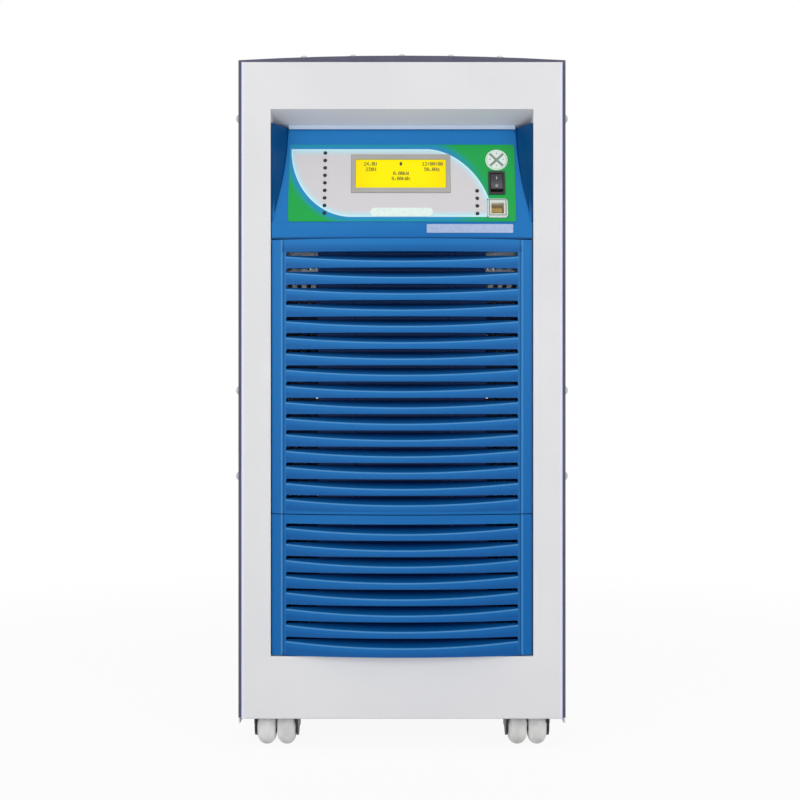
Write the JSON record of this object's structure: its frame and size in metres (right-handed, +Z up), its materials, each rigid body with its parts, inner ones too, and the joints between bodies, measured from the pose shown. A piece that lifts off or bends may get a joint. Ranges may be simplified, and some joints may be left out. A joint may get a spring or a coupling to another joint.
{
  "type": "solar inverter cabinet",
  "caption": "Floor-standing solar inverter: white steel cabinet on castors, blue bowed louvre fascia, recessed control bay with display, keypad and rocker, rear fans, breakers and glands.",
  "frame": {"origin": "on the floor under the middle of the bounding box", "axes": "+Z up, -Y out of the louvred front, +X to the right of someone facing the front"},
  "size_m": [0.3262, 0.475, 0.6811],
  "materials": {
    "white_steel": "fine-textured powder coat, light warm grey",
    "plated_steel": "zinc-plated sheet and fasteners",
    "seal_rubber": "black extruded seal",
    "blue_plastic": "satin injection-moulded blue",
    "overlay_film": "printed polycarbonate film, green and white",
    "bezel_grey": "grey painted display frame",
    "display_yellow": "back-lit yellow liquid crystal display",
    "indicator_red": "tinted indicator lens",
    "white_plastic": "white moulded plastic",
    "black_plastic": "black moulded plastic",
    "plate_pale": "bare plate, one neutral tint",
    "board_green": "green solder mask",
    "core_steel": "varnished laminations",
    "copper": "enamelled copper winding",
    "sink_aluminium": "extruded aluminium",
    "capacitor_blue": "sleeved can",
    "breaker_grey": "light grey moulded case",
    "stud_brass": "bright brass",
    "wheel_grey": "light grey nylon wheel"
  },
  "bodies": {
    "cabinet": {"base_tray": "plated_steel", "front_frame": "white_steel", "front_gasket": "seal_rubber", "left_side_panel": "white_steel", "right_side_panel": "white_steel", "top_cover": "white_steel", "rear_panel": "white_steel", "cabinet_screws": "plated_steel", "component_deck": "plated_steel", "vent_screen": "plated_steel", "control_fascia": "blue_plastic", "upper_louvre_panel": "blue_plastic", "lower_louvre_panel": "blue_plastic", "control_overlay": "overlay_film", "display_bezel": "bezel_grey", "display_panel": "display_yellow", "indicator_lights": "indicator_red", "keypad_ring": "white_plastic", "switch_housing": "black_plastic", "data_port": "white_plastic", "blank_plates": "plate_pale", "control_board": "board_green", "transformer_core": "core_steel", "transformer_winding": "copper", "transformer_clamps": "plated_steel", "output_choke": "copper", "heatsink": "sink_aluminium", "power_transistors": "black_plastic", "power_board": "board_green", "bus_capacitors": "capacitor_blue", "fan_housings": "black_plastic", "fan_guards": "plated_steel", "breaker_bodies": "breaker_grey", "terminal_blocks": "black_plastic", "cable_glands": "black_plastic", "earth_stud": "stud_brass", "castor_plates": "plated_steel", "castor_stems": "plated_steel"},
    "castor_front_left": {"castor_hood_front_left": "black_plastic"},
    "wheels_front_left": {"castor_axle_front_left": "plated_steel", "castor_wheels_front_left": "wheel_grey"},
    "castor_front_right": {"castor_hood_front_right": "black_plastic"},
    "wheels_front_right": {"castor_axle_front_right": "plated_steel", "castor_wheels_front_right": "wheel_grey"},
    "castor_rear_left": {"castor_hood_rear_left": "black_plastic"},
    "wheels_rear_left": {"castor_axle_rear_left": "plated_steel", "castor_wheels_rear_left": "wheel_grey"},
    "castor_rear_right": {"castor_hood_rear_right": "black_plastic"},
    "wheels_rear_right": {"castor_axle_rear_right": "plated_steel", "castor_wheels_rear_right": "wheel_grey"},
    "rocker": {"power_rocker": "black_plastic"},
    "up_key": {"key_up": "white_plastic"},
    "right_key": {"key_right": "white_plastic"},
    "down_key": {"key_down": "white_plastic"},
    "left_key": {"key_left": "white_plastic"},
    "fan_left": {"fan_rotor_left": "black_plastic"},
    "fan_right": {"fan_rotor_right": "black_plastic"},
    "solar_lever": {"solar_breaker_lever": "black_plastic"},
    "battery_lever": {"battery_breaker_lever": "black_plastic"},
    "mains_lever": {"mains_breaker_lever": "black_plastic"}
  },
  "joints": [
    {"name": "castor_front_left_swivel", "type": "hinge", "parent": "cabinet", "child": "castor_front_left", "pos_m": [-0.124, -0.1845, 0.048], "axis": [0, 0, 1], "continuous": true},
    {"name": "castor_front_left_roll", "type": "hinge", "parent": "castor_front_left", "child": "wheels_front_left", "pos_m": [-0.124, -0.1925, 0.02], "axis": [1, 0, 0], "continuous": true},
    {"name": "castor_front_right_swivel", "type": "hinge", "parent": "cabinet", "child": "castor_front_right", "pos_m": [0.124, -0.1845, 0.048], "axis": [0, 0, 1], "continuous": true},
    {"name": "castor_front_right_roll", "type": "hinge", "parent": "castor_front_right", "child": "wheels_front_right", "pos_m": [0.124, -0.1925, 0.02], "axis": [1, 0, 0], "continuous": true},
    {"name": "castor_rear_left_swivel", "type": "hinge", "parent": "cabinet", "child": "castor_rear_left", "pos_m": [-0.124, 0.1715, 0.048], "axis": [0, 0, 1], "continuous": true},
    {"name": "castor_rear_left_roll", "type": "hinge", "parent": "castor_rear_left", "child": "wheels_rear_left", "pos_m": [-0.124, 0.1635, 0.02], "axis": [1, 0, 0], "continuous": true},
    {"name": "castor_rear_right_swivel", "type": "hinge", "parent": "cabinet", "child": "castor_rear_right", "pos_m": [0.124, 0.1715, 0.048], "axis": [0, 0, 1], "continuous": true},
    {"name": "castor_rear_right_roll", "type": "hinge", "parent": "castor_rear_right", "child": "wheels_rear_right", "pos_m": [0.124, 0.1635, 0.02], "axis": [1, 0, 0], "continuous": true},
    {"name": "power_rocker_tilt", "type": "hinge", "parent": "cabinet", "child": "rocker", "pos_m": [0.0928, -0.20869, 0.55283], "axis": [1, 0, 0], "range_deg": [0, 16]},
    {"name": "key_up_press", "type": "slide", "parent": "cabinet", "child": "up_key", "axis": [0, 0.9609, -0.2768], "range_m": [0, 0.0006], "stiffness_N_per_m": 400},
    {"name": "key_right_press", "type": "slide", "parent": "cabinet", "child": "right_key", "axis": [0, 0.9609, -0.2768], "range_m": [0, 0.0006], "stiffness_N_per_m": 400},
    {"name": "key_down_press", "type": "slide", "parent": "cabinet", "child": "down_key", "axis": [0, 0.9609, -0.2768], "range_m": [0, 0.0006], "stiffness_N_per_m": 400},
    {"name": "key_left_press", "type": "slide", "parent": "cabinet", "child": "left_key", "axis": [0, 0.9609, -0.2768], "range_m": [0, 0.0006], "stiffness_N_per_m": 400},
    {"name": "fan_left_spin", "type": "hinge", "parent": "cabinet", "child": "fan_left", "pos_m": [-0.068, 0.2015, 0.505], "axis": [0, 1, 0], "continuous": true},
    {"name": "fan_right_spin", "type": "hinge", "parent": "cabinet", "child": "fan_right", "pos_m": [0.068, 0.2015, 0.505], "axis": [0, 1, 0], "continuous": true},
    {"name": "solar_breaker_throw", "type": "hinge", "parent": "cabinet", "child": "solar_lever", "pos_m": [-0.072, 0.2155, 0.27], "axis": [1, 0, 0], "range_deg": [-70, 0]},
    {"name": "battery_breaker_throw", "type": "hinge", "parent": "cabinet", "child": "battery_lever", "pos_m": [-0.036, 0.2155, 0.27], "axis": [1, 0, 0], "range_deg": [-70, 0]},
    {"name": "mains_breaker_throw", "type": "hinge", "parent": "cabinet", "child": "mains_lever", "pos_m": [0, 0.2155, 0.27], "axis": [1, 0, 0], "range_deg": [-70, 0]}
  ]
}
